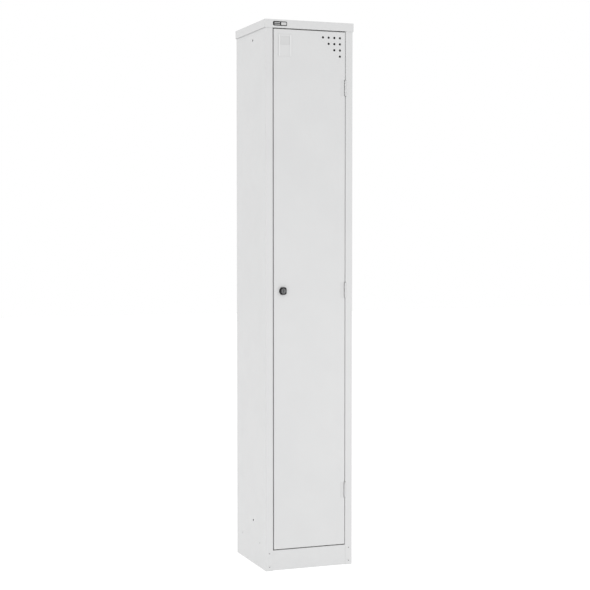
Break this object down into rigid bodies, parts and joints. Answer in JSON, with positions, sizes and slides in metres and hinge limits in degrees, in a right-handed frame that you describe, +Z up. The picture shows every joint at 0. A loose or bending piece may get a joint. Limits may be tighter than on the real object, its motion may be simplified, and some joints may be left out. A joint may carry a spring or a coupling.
{
  "type": "locker cabinet",
  "caption": "Tall narrow steel locker with a full-height hinged door, key cam lock, card holder, vent holes, hat shelf and coat rail.",
  "frame": {"origin": "middle of the whole object's footprint, on the floor", "axes": "+Z up; -Y towards the front, where the door is; +X to the right of a person facing the door, the hinge side"},
  "size_m": [0.311, 0.3116, 1.8],
  "materials": {
    "powder_coat": "smooth satin powder coat, pale grey white",
    "zinc_steel": "bright zinc plate",
    "rail_chrome": "polished chrome plate",
    "lock_nickel": "dark satin nickel plate",
    "black_plastic": "fine moulded texture",
    "nameplate_print": "blank two-tone print under clear film",
    "buffer_rubber": "matte"
  },
  "bodies": {
    "cabinet": {"left_side_panel": "powder_coat", "right_side_panel": "powder_coat", "back_panel": "powder_coat", "top_cap": "powder_coat", "header_rail": "powder_coat", "floor_pan": "powder_coat", "kick_plate": "powder_coat", "hat_shelf": "powder_coat", "left_shelf_bracket": "powder_coat", "right_shelf_bracket": "powder_coat", "plinth_rivets": "powder_coat", "floor_pan_rivets": "powder_coat", "upper_hinge_frame_leaf": "powder_coat", "middle_hinge_frame_leaf": "powder_coat", "lower_hinge_frame_leaf": "powder_coat", "upper_hinge_pin": "zinc_steel", "middle_hinge_pin": "zinc_steel", "lower_hinge_pin": "zinc_steel", "back_panel_rivets": "zinc_steel", "coat_rail": "rail_chrome", "left_rail_cup": "black_plastic", "right_rail_cup": "black_plastic", "nameplate": "nameplate_print", "door_buffers": "buffer_rubber"},
    "door": {"door_panel": "powder_coat", "door_stiffener": "powder_coat", "card_holder": "powder_coat", "lock_escutcheon": "black_plastic", "lock_body": "lock_nickel", "lock_nut": "zinc_steel", "upper_hinge_door_leaf": "powder_coat", "middle_hinge_door_leaf": "powder_coat", "lower_hinge_door_leaf": "powder_coat"},
    "lock": {"lock_barrel": "lock_nickel", "lock_cam": "zinc_steel", "cam_screw": "zinc_steel"}
  },
  "joints": [
    {"name": "door_swing", "type": "hinge", "parent": "cabinet", "child": "door", "pos_m": [0.127, -0.14825, 0.92], "axis": [0, 0, 1], "range_deg": [0, 170]},
    {"name": "lock_turn", "type": "hinge", "parent": "door", "child": "lock", "pos_m": [-0.0935, -0.14775, 0.92], "axis": [0, 1, 0], "range_deg": [0, 90]}
  ]
}
